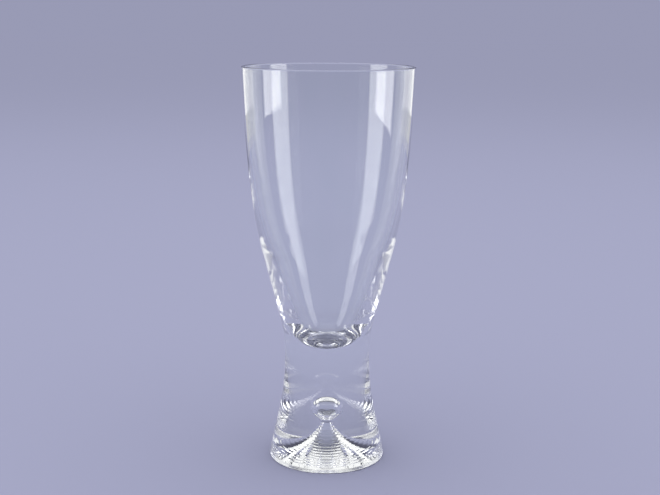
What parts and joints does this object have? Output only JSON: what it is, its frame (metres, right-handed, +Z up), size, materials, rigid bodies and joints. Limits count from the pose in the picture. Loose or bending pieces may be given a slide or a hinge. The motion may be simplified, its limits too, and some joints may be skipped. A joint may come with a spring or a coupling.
{
  "type": "tumbler",
  "caption": "Tall clear drinking glass: flared bowl fused to a solid waisted stem and a flared foot, with a trapped air bubble over a ringed bell-shaped hollow.",
  "frame": {"origin": "centre of the foot on the surface that the glass stands on", "axes": "+Z up along the axis of the glass, from the foot to the rim; X and Y are alike"},
  "size_m": [0.0752, 0.0752, 0.175],
  "materials": {
    "clear_glass": "clear, fire-polished"
  },
  "bodies": {
    "root": {"bowl": "clear_glass", "stem": "clear_glass", "foot": "clear_glass"}
  },
  "joints": []
}
